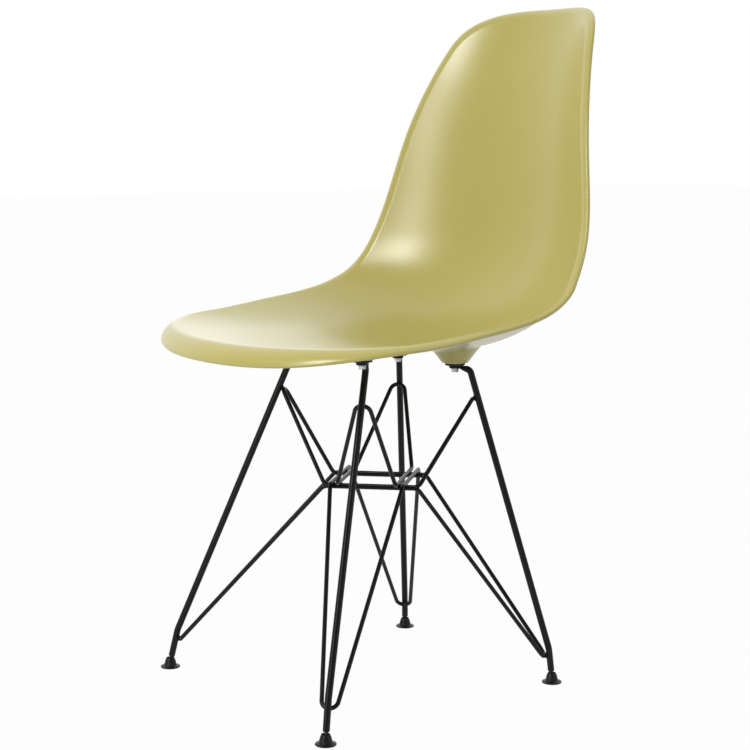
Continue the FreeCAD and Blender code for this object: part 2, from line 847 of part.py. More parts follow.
def lock_washer(name, side, end):
    """Make one split washer: a ring with a slit on one side."""
    body = new_body(name)
    bore = size("screw_radius") + size("screw_clearance")
    thick = size("washer_thickness")
    turned(body, [(bore, ZERO), (size("washer_radius"), ZERO),
                  (size("washer_radius"), thick), (bore, thick)])
    gap = size("washer_gap")
    slit = body.newObject("PartDesign::SubtractiveBox", "slit")
    for side_name, measure in (("Length", size("washer_radius") * 2), ("Width", gap),
                               ("Height", thick * 3)):
        slit.setExpression(side_name, measure.text)
    slit.AttachmentOffset = FreeCAD.Placement(
        Vector(0, -gap.value / 2, -thick.value), FreeCAD.Rotation())
    slit.setExpression("AttachmentOffset.Base.y", (-gap / 2).text)
    slit.setExpression("AttachmentOffset.Base.z", (-thick).text)
    mount = mount_point(side, end)
    place(body, mount.x, mount.y, eye_underside(end) - number("washer_thickness"))
    return body


def eye_underside(end):
    """Return the height of the flat face the washer bears on."""
    return number(end + "_mount_z") - number("spacer_thickness") - number("eye_thickness")


def mounting_screw(name, side, end):
    """Make one hex-head screw: chamfered head below its bearing face, shank above."""
    body = new_body(name)
    head, flats = size("screw_head"), size("screw_flats")
    corner = flats / Size(3).root()
    sketch = new_sketch(body, "head_outline", "XY_Plane", -head)
    corners = []
    for index in range(6):
        angle = math.radians(60 * index)
        corners.append((corner * round(math.cos(angle), 9), corner * round(math.sin(angle), 9)))
    outline(sketch, corners)
    pad(body, sketch, head)
    radius, length, point = size("screw_radius"), size("screw_length"), size("screw_point")
    turned(body, [(ZERO, -head / 2), (radius, -head / 2), (radius, length - point),
                  (radius - point, length), (ZERO, length)], "shank")
    beyond = corner + head
    slope = size("screw_head_chamfer").tangent()
    flat = flats / 2 - size("screw_head_ease")
    turned(body, [(flat, -head), (flat, -head - 1), (beyond, -head - 1),
                  (beyond, (beyond - flat) * slope - head)], "head_chamfer", True)
    mount = mount_point(side, end)
    place(body, mount.x, mount.y, eye_underside(end) - number("washer_thickness"))
    return body


# Feet

def ball_stud(name, side, end):
    """Make one ball stud, its plain shank pushed up the bore of the leg."""
    body = new_body(name)
    ball = body.newObject("PartDesign::AdditiveSphere", "ball")
    ball.setExpression("Radius", size("ball_radius").text)
    shank, point = size("neck_radius"), size("screw_point")
    top = size("neck_length") + size("stud_depth") - point
    turned(body, [(ZERO, ZERO), (shank, ZERO), (shank, top - point), (shank - point, top),
                  (ZERO, top)], "shank")
    foot = foot_point(side, end)
    heading = leg_heading(side, end)
    turn = FreeCAD.Rotation(UP, math.degrees(math.atan2(heading.y, heading.x)))
    tilt = FreeCAD.Rotation(Vector(0, 1, 0), -number(end + "_tail_lean"))
    body.Placement = FreeCAD.Placement(foot, turn.multiply(tilt))
    return body


def glide(name, side, end):
    """Make one levelling glide: dished foot with a snap-on socket for the ball."""
    body = new_body(name)
    floor = -size("ball_height")
    radius, collar = size("glide_radius"), size("collar_radius")
    turned(body, [(ZERO, floor + size("sole_recess")),
                  (radius - size("sole_land"), floor + size("sole_recess")),
                  (radius - size("sole_land"), floor), (radius - size("glide_edge"), floor),
                  (radius, floor + size("glide_edge")), (radius, floor + size("glide_rim")),
                  (collar, floor + size("glide_crown")), (collar, size("collar_shoulder")),
                  (size("collar_top_radius"), size("collar_top")), (ZERO, size("collar_top"))])
    socket = body.newObject("PartDesign::SubtractiveSphere", "socket")
    socket.setExpression("Radius", (size("ball_radius") + size("ball_clearance")).text)
    inner = size("ball_radius") + size("ball_clearance")
    throat = (inner * inner - size("mouth_height") * size("mouth_height")).root()
    turned(body, [(ZERO, size("mouth_height")), (throat, size("mouth_height")),
                  (size("mouth_radius"), size("collar_top")),
                  (size("mouth_radius"), size("collar_top") + 1),
                  (ZERO, size("collar_top") + 1)], "mouth", True)
    heading = leg_heading(side, end)
    place(body, *foot_point(side, end), math.degrees(math.atan2(heading.y, heading.x)))
    return body


# Assembly

seat_shell()
for corner_name, (side, end) in CORNERS.items():
    threaded_insert("threaded_insert_" + corner_name, side, end)
    rubber_spacer("rubber_spacer_" + corner_name, side, end)
    leg("leg_rod_" + corner_name, side, end)
    lock_washer("lock_washer_" + corner_name, side, end)
    mounting_screw("mounting_screw_" + corner_name, side, end)
    ball_stud("ball_stud_" + corner_name, side, end)
    glide("glide_" + corner_name, side, end)
for hand, side, layer in (("right", -1, 0), ("left", 1, 1)):
    for level in ("upper", "lower"):
        wire_loop("%s_loop_%s" % (level, hand), side, level, layer)
document.recompute()

# Checks and STEP files
for item in document.Objects:
    if "Invalid" in item.State or "Error" in item.State:
        raise RuntimeError("%s did not compute: %s" % (item.Name, item.getStatusString()))
sub_parts = [item for item in document.Objects
             if item.TypeId == "PartDesign::Body" or item.TypeId == "Part::Feature"]
os.makedirs("parts", exist_ok=True)
for item in sub_parts:
    shape = item.Shape
    if shape.isNull() or not shape.isValid() or len(shape.Solids) != 1:
        raise RuntimeError("%s is not one sound solid" % item.Label)
    shape.exportStep("parts/%s.step" % item.Label)
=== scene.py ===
"""Looks of a moulded shell chair on a welded rod base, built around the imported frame.

Lengths in the classes are millimetres in the chair's own frame: +Z up, the sitter looks towards
-Y, the origin on the floor. Meshes are written in metres. Angles in fields are degrees.
"""

import logging
import math
from dataclasses import dataclass
from enum import Enum
from typing import Iterable, Sequence

import bmesh
import bpy
import numpy as np
from mathutils import Matrix


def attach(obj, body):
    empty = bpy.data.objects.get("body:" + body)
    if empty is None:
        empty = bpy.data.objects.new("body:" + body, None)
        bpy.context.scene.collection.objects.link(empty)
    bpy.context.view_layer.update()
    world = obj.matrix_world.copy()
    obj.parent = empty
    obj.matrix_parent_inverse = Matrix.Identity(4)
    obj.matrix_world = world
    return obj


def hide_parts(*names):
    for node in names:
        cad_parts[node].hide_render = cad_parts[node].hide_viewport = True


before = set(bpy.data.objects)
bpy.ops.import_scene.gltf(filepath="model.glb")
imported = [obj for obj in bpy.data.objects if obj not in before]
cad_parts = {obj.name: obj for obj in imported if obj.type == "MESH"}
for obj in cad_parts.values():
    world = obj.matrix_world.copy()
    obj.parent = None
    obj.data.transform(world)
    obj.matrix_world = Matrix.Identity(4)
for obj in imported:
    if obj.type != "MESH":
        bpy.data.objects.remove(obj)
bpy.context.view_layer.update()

Array = np.ndarray
Pair = tuple[float, float]
Triple = tuple[float, float, float]
Material = bpy.types.Material
Socket = bpy.types.NodeSocket
Tree = bpy.types.NodeTree
Inputs = dict[object, object]

MM = 0.001
FRAME_BODY = "frame"
UP = np.array([0.0, 0.0, 1.0])
WHITE = (1.0, 1.0, 1.0, 1.0)
SIDES = {"left": 1, "right": -1}
log = logging.getLogger("chair")

# Sizes that more than one class uses
SPACER_THICKNESS = 3.0
EYE_THICKNESS = 3.6
SCREW_HOLE = 2.75
BALL_HEIGHT = 7.0


class End(Enum):
    """Front or rear of the chair."""

    FRONT = "front"
    REAR = "rear"


class Level(Enum):
    """Upper or lower loops of the base."""

    UPPER = "upper"
    LOWER = "lower"


@dataclass(frozen=True)
class Corner:
    """One of the four corners of the base, with the sizes that differ from front to rear.

    The leans are measured from upright: of the leg, and of its tail below the low bend.
    """

    name: str
    side: int
    end: End
    mount: Triple
    foot: Pair
    lean: float
    tail_lean: float
    low_z: float
    upper_weld: float
    lower_weld: float

    def weld_height(self, level: Level) -> float:
        """Return the height at which a loop of the level meets the leg."""
        return self.upper_weld if level is Level.UPPER else self.lower_weld


FRONT_SIZES = dict(end=End.FRONT, lean=22.75, tail_lean=13.1, low_z=47.6,
                   upper_weld=354.4, lower_weld=38.0)
REAR_SIZES = dict(end=End.REAR, lean=16.45, tail_lean=6.6, low_z=41.6,
                  upper_weld=346.4, lower_weld=33.5)
FRONT_MOUNT, FRONT_FOOT = (86.2, -96.9, 406.3), (172.8, -206.3)
REAR_MOUNT, REAR_FOOT = (57.7, 59.5, 387.5), (149.3, 140.4)


def corners() -> list[Corner]:
    """Return the four corners, front pair first and left before right.

    Returns:
        The corners named front_left, front_right, rear_left and rear_right.
    """
    made = []
    for sizes, mount, foot in ((FRONT_SIZES, FRONT_MOUNT, FRONT_FOOT),
                               (REAR_SIZES, REAR_MOUNT, REAR_FOOT)):
        for hand, side in SIDES.items():
            made.append(Corner(name="%s_%s" % (sizes["end"].value, hand), side=side,
                               mount=(side * mount[0], mount[1], mount[2]),
                               foot=(side * foot[0], foot[1]), **sizes))
    return made


CORNERS = corners()


# Meshes from grids

def unit(vectors: Array) -> Array:
    """Return vectors along the last axis, each divided by its length."""
    return vectors / np.linalg.norm(vectors, axis=-1, keepdims=True)


def circle(count: int) -> Array:
    """Return evenly spaced angles once round, in radians."""
    return np.linspace(0, 2 * np.pi, count, endpoint=False)


def travelled(path: Array) -> Array:
    """Return the distance along a path from its first point to each point."""
    return np.concatenate([[0], np.cumsum(np.linalg.norm(np.diff(path, axis=0), axis=1))])


def smooth(value: Array) -> Array:
    """Return 0 below 0, 1 above 1, and 3v^2 - 2v^3 between."""
    inside = np.clip(value, 0, 1)
    return inside * inside * (3 - 2 * inside)


def turned(radius: Array, height: Array, turn: Array) -> Array:
    """Return points (r cos t, r sin t, z): a row for each height, a column for each angle."""
    return np.stack([radius * np.cos(turn), radius * np.sin(turn),
                     np.broadcast_to(height, (len(height), len(turn)))], axis=-1)


@dataclass
class Patch:
    """Vertices and faces of one closed surface, in millimetres."""

    points: Array
    faces: list[Array]

    def outward(self) -> "Patch":
        """Turn the faces outwards.

        The sum of a . (b x c) over triangles a, b, c is six times the volume, and below zero
        where the faces look inwards.

        Returns:
            The patch itself.
        """
        volume = 0.0
        for faces in self.faces:
            first = self.points[faces[:, 0]]
            for step in range(1, faces.shape[1] - 1):
                second, third = self.points[faces[:, step]], self.points[faces[:, step + 1]]
                volume += np.einsum("ij,ij->i", first, np.cross(second, third)).sum()
        if volume < 0:
            self.faces = [faces[:, ::-1] for faces in self.faces]
        return self


def grid_patch(grid: Array, pole_start: bool = False, pole_end: bool = False,
               wrap_rows: bool = False) -> Patch:
    """Join a grid of points into faces: each row is a closed ring.

    Args:
        grid: Points as an array of rows by columns by 3.
        pole_start: Whether the first row is one point, closed by a fan.
        pole_end: Whether the last row is one point, closed by a fan.
        wrap_rows: Whether the last row joins the first.

    Returns:
        The closed patch.
    """
    rows, columns = grid.shape[:2]
    index = np.arange(rows * columns).reshape(rows, columns)
    after = np.roll(index, -1, axis=1)
    low = index if wrap_rows else index[:-1]
    low_after = after if wrap_rows else after[:-1]
    high = np.roll(index, -1, axis=0) if wrap_rows else index[1:]
    high_after = np.roll(after, -1, axis=0) if wrap_rows else after[1:]
    quads = np.stack([low, low_after, high_after, high], axis=-1)
    start, stop = int(pole_start), quads.shape[0] - int(pole_end)
    faces = [quads[start:stop].reshape(-1, 4)]
    if pole_start:
        centre = np.zeros(columns, int)
        faces.append(np.stack([centre, after[1], index[1]], axis=-1))
    if pole_end:
        centre = np.full(columns, index[-1, 0])
        faces.append(np.stack([centre, index[-2], after[-2]], axis=-1))
    return Patch(grid.reshape(-1, 3), faces).outward()


def make_piece(name: str, patches: Iterable[Patch], material: Material, body: str,
               replaced: Sequence[str] = (), sharp: float = 40.0) -> bpy.types.Object:
    """Write patches into one smooth-shaded object that rides on a body.

    Args:
        name: Name of the piece.
        patches: Closed patches in millimetres.
        material: Finish of the piece.
        body: Body that carries the piece.
        replaced: Frame nodes that the piece stands for.
        sharp: Angle in degrees past which an edge stays crisp.

    Returns:
        The new object.
    """
    points, faces, base = [], [], 0
    for patch in patches:
        points.append(patch.points * MM)
        for group in patch.faces:
            faces.extend((group + base).tolist())
        base += len(patch.points)
    mesh = bpy.data.meshes.new(name)
    mesh.from_pydata(np.concatenate(points).tolist(), [], faces)
    drop_loose(mesh)
    mesh.shade_smooth()
    mesh.set_sharp_from_angle(angle=math.radians(sharp))
    mesh.materials.append(material)
    piece = bpy.data.objects.new(name, mesh)
    bpy.context.scene.collection.objects.link(piece)
    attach(piece, body)
    if replaced:
        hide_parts(*replaced)
    log.info("%s: %d faces", name, len(mesh.polygons))
    return piece


def drop_loose(mesh: bpy.types.Mesh) -> None:
    """Remove points that no face uses, such as the spare copies at a pole.

    Args:
        mesh: The mesh, changed in place.
    """
    work = bmesh.new()
    work.from_mesh(mesh)
    loose = [point for point in work.verts if not point.link_faces]
    bmesh.ops.delete(work, geom=loose, context="VERTS")
    work.to_mesh(mesh)
    work.free()


def lathe(profile: Array, count: int = 96, closed: bool = False) -> Patch:
    """Turn a profile about the upright axis.

    Args:
        profile: Radius and height of each profile point.
        count: Points round the circle.
        closed: Whether the profile is a loop that stays off the axis.

    Returns:
        The turned patch, about the origin.
    """
    grid = turned(profile[:, :1], profile[:, 1:2], circle(count))
    if closed:
        return grid_patch(grid, wrap_rows=True)
    return grid_patch(grid, pole_start=profile[0, 0] == 0, pole_end=profile[-1, 0] == 0)


def rounded_path(points: Array, bends: Sequence[float], closed: bool = False,
                 step: float = 4.0) -> Array:
    """Round the corners of a polyline with tangent arcs.

    At a corner with unit directions u and v to its neighbours, the arc of radius b leaves the
    lines b / tan(half the angle) away, about a centre b / sin(half the angle) along u + v.

    Args:
        points: Corner points, in 2-D or 3-D.
        bends: Radius of each corner's arc; the two ends of an open path take none.
        closed: Whether the last point joins the first.
        step: Degrees of turn between arc points.

    Returns:
        The points of the rounded path in order.
    """
    count = len(points)
    made = []
    for index, (corner, bend) in enumerate(zip(points, bends)):
        if not closed and index in (0, count - 1):
            made.append(corner[None])
            continue
        before = unit(points[index - 1] - corner)
        after = unit(points[(index + 1) % count] - corner)
        half = math.acos(float(np.clip(before @ after, -1, 1))) / 2
        start = corner + before * (bend / math.tan(half))
        centre = corner + unit(before + after) * (bend / math.sin(half))
        turn = math.pi - 2 * half
        angles = np.linspace(0, turn, max(3, int(math.degrees(turn) / step) + 2))[:, None]
        made.append(centre + (start - centre) * np.cos(angles) - before * bend * np.sin(angles))
    return np.concatenate(made)


def tangents(path: Array, closed: bool) -> Array:
    """Return unit tangents of a path, from the directions of the runs on both sides.

    Args:
        path: Points of the path.
        closed: Whether the last point joins the first.

    Returns:
        One tangent for each point.
    """
    if closed:
        run = unit(np.roll(path, -1, axis=0) - path)
        return unit(run + np.roll(run, 1, axis=0))
    run = unit(np.diff(path, axis=0))
    return unit(np.concatenate([run[:1], run[1:] + run[:-1], run[-1:]]))


def closed_rod(path: Array, radius: float, sides: int) -> Patch:
    """Carry a circle along a closed path without twisting it.

    The circle's first axis is turned from one point to the next by the least rotation that
    takes one tangent to the other; what twist is left after a full turn is spread evenly.

    Args:
        path: Points of the path.
        radius: Radius of the rod.
        sides: Points round the circle.

    Returns:
        The rod as a ring-shaped patch.
    """
    along = tangents(path, True)
    axis = unit(np.cross(along[0], UP))
    axes = [axis]
    for index in range(1, len(path) + 1):
        ahead = along[index % len(path)]
        axis = unit(axis - ahead * (axis @ ahead))
        axes.append(axis)
    first = np.array(axes[:-1])
    second = np.cross(along, first)
    spare = math.atan2(float(axis @ second[0]), float(axis @ first[0]))
    run = travelled(np.concatenate([path, path[:1]]))
    angle = circle(sides) - spare * (run[:-1] / run[-1])[:, None]
    grid = path[:, None] + radius * (np.cos(angle)[..., None] * first[:, None]
                                     + np.sin(angle)[..., None] * second[:, None])
    return grid_patch(grid, wrap_rows=True)


def moved(patch: Patch, place: Sequence[float], turn: float = 0.0) -> Patch:
    """Return a patch turned about the upright axis by an angle in radians, then moved."""
    spin = np.array([[math.cos(turn), -math.sin(turn), 0], [math.sin(turn), math.cos(turn), 0],
                     [0, 0, 1]])
    return Patch(patch.points @ spin.T + np.asarray(place, float), patch.faces)


# Shader nodes

# Numbers of a mix node's colour sockets
MIX_FIRST, MIX_SECOND, MIX_RESULT = 6, 7, 2


def feed(tree: Tree, node: bpy.types.Node, inputs: Inputs) -> None:
    """Give a node its inputs: a socket is linked, and anything else is set as the value.

    Args:
        tree: Tree that holds the node.
        node: The node.
        inputs: What each input takes, by its name or number.
    """
    for label, value in inputs.items():
        if isinstance(value, Socket):
            tree.links.new(value, node.inputs[label])
        else:
            node.inputs[label].default_value = value


def add_node(tree: Tree, kind: str, inputs: Inputs, **settings: object) -> bpy.types.Node:
    """Add a shader node.

    Args:
        tree: Tree that takes the node.
        kind: Its type, without the leading ShaderNode.
        inputs: What each input takes, by its name or number.
        settings: Its properties, which are set first.

    Returns:
        The node.
    """
    node = tree.nodes.new("ShaderNode" + kind)
    for label, value in settings.items():
        setattr(node, label, value)
    feed(tree, node, inputs)
    return node


def math_node(tree: Tree, operation: str, *operands: object, clamp: bool = False) -> Socket:
    """Return the result of a maths node; each operand is a socket or a number."""
    return add_node(tree, "Math", dict(enumerate(operands)), operation=operation,
                    use_clamp=clamp).outputs[0]


def ramp(tree: Tree, value: object, start: object, gain: float) -> Socket:
    """Return (value - start) * gain, held between 0 and 1."""
    return math_node(tree, "MULTIPLY", math_node(tree, "SUBTRACT", value, start), gain, clamp=True)


def noise_node(tree: Tree, vector: Socket, scale: object, detail: float = 3.0,
               rough: float = 0.5) -> Socket:
    """Return a noise, 0 to 1, read at a vector; the scale is a socket or a number."""
    return add_node(tree, "TexNoise", {"Vector": vector, "Scale": scale, "Detail": detail,
                                       "Roughness": rough}).outputs["Fac"]


def mix_node(tree: Tree, factor: Socket, first: object, second: object) -> Socket:
    """Return the mix of two colours, each a socket or a value."""
    return add_node(tree, "Mix", {"Factor": factor, MIX_FIRST: first, MIX_SECOND: second},
                    data_type="RGBA").outputs[MIX_RESULT]


@dataclass(frozen=True)
class SurfaceLife:
    """The effects that all finishes share: grain, mottling, scuffs and edge wear.

    Scales are cells per metre. An effect sets in where its noise passes the start and then
    rises with the gain.
    """

    mark_scale: Triple = (60.0, 260.0, 120.0)
    mark_turn: Triple = (0.3, 0.5, 0.7)
    mark_detail: float = 4.0
    mark_rough: float = 0.6
    mark_start: float = 0.56
    mark_gain: float = 9.0
    area_scale: float = 14.0
    area_detail: float = 2.0
    area_start: float = 0.5
    area_gain: float = 5.0
    edge_gain: float = 22.0
    chip_scale: float = 300.0
    chip_gain: float = 1.6

    def group(self) -> Tree:
        """Build the shader group.

        Returns:
            A group with outputs Height (fine grain), Mottle (broad, 0 to 1), Scuff (short
            rubbed marks, 0 to 1) and Edge (worn convex edges, 0 to 1).
        """
        group = bpy.data.node_groups.new("surface_life", "ShaderNodeTree")
        for label, default in (("Grain Scale", 900.0), ("Mottle Scale", 9.0),
                               ("Scuff Amount", 0.3), ("Edge Start", 0.52)):
            group.interface.new_socket(name=label, in_out="INPUT",
                                       socket_type="NodeSocketFloat").default_value = default
        for label in ("Height", "Mottle", "Scuff", "Edge"):
            group.interface.new_socket(name=label, in_out="OUTPUT", socket_type="NodeSocketFloat")
        inputs = group.nodes.new("NodeGroupInput").outputs
        place = add_node(group, "TexCoord", {}).outputs["Object"]
        ridge = add_node(group, "NewGeometry", {}).outputs["Pointiness"]
        stretch = add_node(group, "Mapping", {"Vector": place, "Scale": self.mark_scale,
                                              "Rotation": self.mark_turn}).outputs["Vector"]
        marks = noise_node(group, stretch, 1.0, self.mark_detail, self.mark_rough)
        area = noise_node(group, place, self.area_scale, self.area_detail)
        scuff = math_node(group, "MULTIPLY", ramp(group, marks, self.mark_start, self.mark_gain),
                          ramp(group, area, self.area_start, self.area_gain))
        edge = ramp(group, ridge, inputs["Edge Start"], self.edge_gain)
        chips = math_node(group, "MULTIPLY", noise_node(group, place, self.chip_scale),
                          self.chip_gain, clamp=True)
        feed(group, group.nodes.new("NodeGroupOutput"), {
            "Height": noise_node(group, place, inputs["Grain Scale"]),
            "Mottle": noise_node(group, place, inputs["Mottle Scale"]),
            "Scuff": math_node(group, "MULTIPLY", scuff, inputs["Scuff Amount"]),
            "Edge": math_node(group, "MULTIPLY", edge, chips)})
        return group


@dataclass(frozen=True)
class Finish:
    """A finish: its colour, gloss and the strength of each surface effect.

    Scales are cells per metre, and the grain's height is in metres.
    """

    name: str
    slot: str
    colour: Triple
    worn_colour: Triple
    roughness: float
    metallic: float = 0.0
    specular: float = 0.5
    coat: float = 0.0
    coat_roughness: float = 0.1
    grain_scale: float = 900.0
    grain_depth: float = 0.05
    grain_height: float = 0.0004
    mottle: float = 0.06
    mottle_scale: float = 9.0
    scuff: float = 0.25
    edge: float = 0.3
    edge_start: float = 0.53
    haze: float = 0.03
    rubbed_haze: float = 0.25

    def material(self, group: Tree) -> Material:
        """Build the finish as a node material.

        The base colour is mottled, then rubbed towards the worn colour by scuffs and edges;
        roughness rises with scuffs, and the grain feeds a bump.

        Args:
            group: The shared surface group.

        Returns:
            The material.
        """
        made = bpy.data.materials.new(self.name)
        made.use_nodes = True
        tree = made.node_tree
        life = add_node(tree, "Group", {
            "Grain Scale": self.grain_scale, "Mottle Scale": self.mottle_scale,
            "Scuff Amount": self.scuff, "Edge Start": self.edge_start}, node_tree=group).outputs
        shades = [tuple(part * (1 + sign * self.mottle) for part in self.colour) + (1.0,)
                  for sign in (-1, 1)]
        rubbed = math_node(tree, "MAXIMUM", life["Scuff"],
                           math_node(tree, "MULTIPLY", life["Edge"], self.edge))
        tint = mix_node(tree, life["Mottle"], *shades)
        haze = math_node(tree, "MULTIPLY_ADD", life["Mottle"], self.haze,
                         self.roughness - self.haze / 2)
        rubbed_haze = math_node(tree, "MULTIPLY", rubbed, self.rubbed_haze)
        bump = add_node(tree, "Bump", {"Strength": self.grain_depth, "Distance": self.grain_height,
                                       "Height": life["Height"]})
        feed(tree, tree.nodes["Principled BSDF"], {
            "Base Color": mix_node(tree, rubbed, tint, self.worn_colour + (1.0,)),
            "Roughness": math_node(tree, "ADD", haze, rubbed_haze, clamp=True),
            "Normal": bump.outputs["Normal"], "Metallic": self.metallic,
            "Specular IOR Level": self.specular, "Coat Weight": self.coat,
            "Coat Roughness": self.coat_roughness})
        return made


FINISHES = (
    Finish("satin_shell", "shell_plastic", (0.525, 0.462, 0.118), (0.66, 0.62, 0.34), 0.30,
           coat=0.6, coat_roughness=0.28, grain_scale=1400.0, grain_depth=0.04, mottle=0.02,
           mottle_scale=7.0, scuff=0.0, edge=0.0),
    Finish("gloss_black_paint", "black_paint", (0.004, 0.004, 0.0043), (0.012, 0.012, 0.012), 0.30,
           specular=0.24, grain_scale=1500.0, grain_depth=0.01, mottle=0.1, mottle_scale=30.0,
           scuff=0.05, edge=0.03),
    Finish("spacer_rubber", "spacer_rubber", (0.007, 0.007, 0.007), (0.022, 0.022, 0.021), 0.55,
           specular=0.35, grain_scale=1500.0, grain_depth=0.2, mottle=0.15, scuff=0.3),
    Finish("glide_plastic", "glide_plastic", (0.006, 0.006, 0.0063), (0.024, 0.024, 0.023), 0.38,
           specular=0.28, grain_scale=1200.0, grain_depth=0.12, mottle=0.15, scuff=0.3, edge=0.2),
    Finish("zinc_plate", "zinc_plate", (0.44, 0.45, 0.46), (0.66, 0.66, 0.66), 0.32, metallic=1.0,
           grain_scale=900.0, grain_depth=0.12, mottle=0.12, mottle_scale=120.0, scuff=0.4),
    Finish("stud_steel", "stud_steel", (0.060, 0.060, 0.064), (0.16, 0.16, 0.16), 0.36,
           metallic=1.0, grain_depth=0.1, mottle=0.1),
    Finish("insert_brass", "insert_brass", (0.66, 0.47, 0.19), (0.8, 0.65, 0.35), 0.32,
           metallic=1.0, grain_depth=0.1, mottle=0.1),
)


# Shell

class NaturalSpline:
    """Natural cubic spline through values at knots, evaluated on whole arrays."""

    def __init__(self, knots: Array, values: Array) -> None:
        """Solve for the bends, half the second derivatives, which are zero at both ends.

        Args:
            knots: Places of the values, rising.
            values: The value at each knot.
        """
        self.knots, self.values, self.gaps = knots, values, np.diff(knots)
        slopes = np.diff(values) / self.gaps
        system, right = np.eye(len(knots)), np.zeros(len(knots))
        for index in range(1, len(knots) - 1):
            before, after = self.gaps[index - 1], self.gaps[index]
            system[index, index - 1:index + 2] = before, 2 * (before + after), after
            right[index] = 3 * (slopes[index] - slopes[index - 1])
        self.bends = np.linalg.solve(system, right)

    def __call__(self, at: Array) -> Array:
        """Return the spline's values.

        In a span with bends l and h the value is y + t (slope + t (l + t (h - l) / (3 gap))).

        Args:
            at: Places, of any shape.

        Returns:
            A value for each place.
        """
        span = np.clip(np.searchsorted(self.knots, at) - 1, 0, len(self.knots) - 2)
        gap, step = self.gaps[span], at - self.knots[span]
        low, high = self.bends[span], self.bends[span + 1]
        slope = (self.values[span + 1] - self.values[span]) / gap - gap * (2 * low + high) / 3
        return self.values[span] + step * (slope + step * (low + step * (high - low) / (3 * gap)))


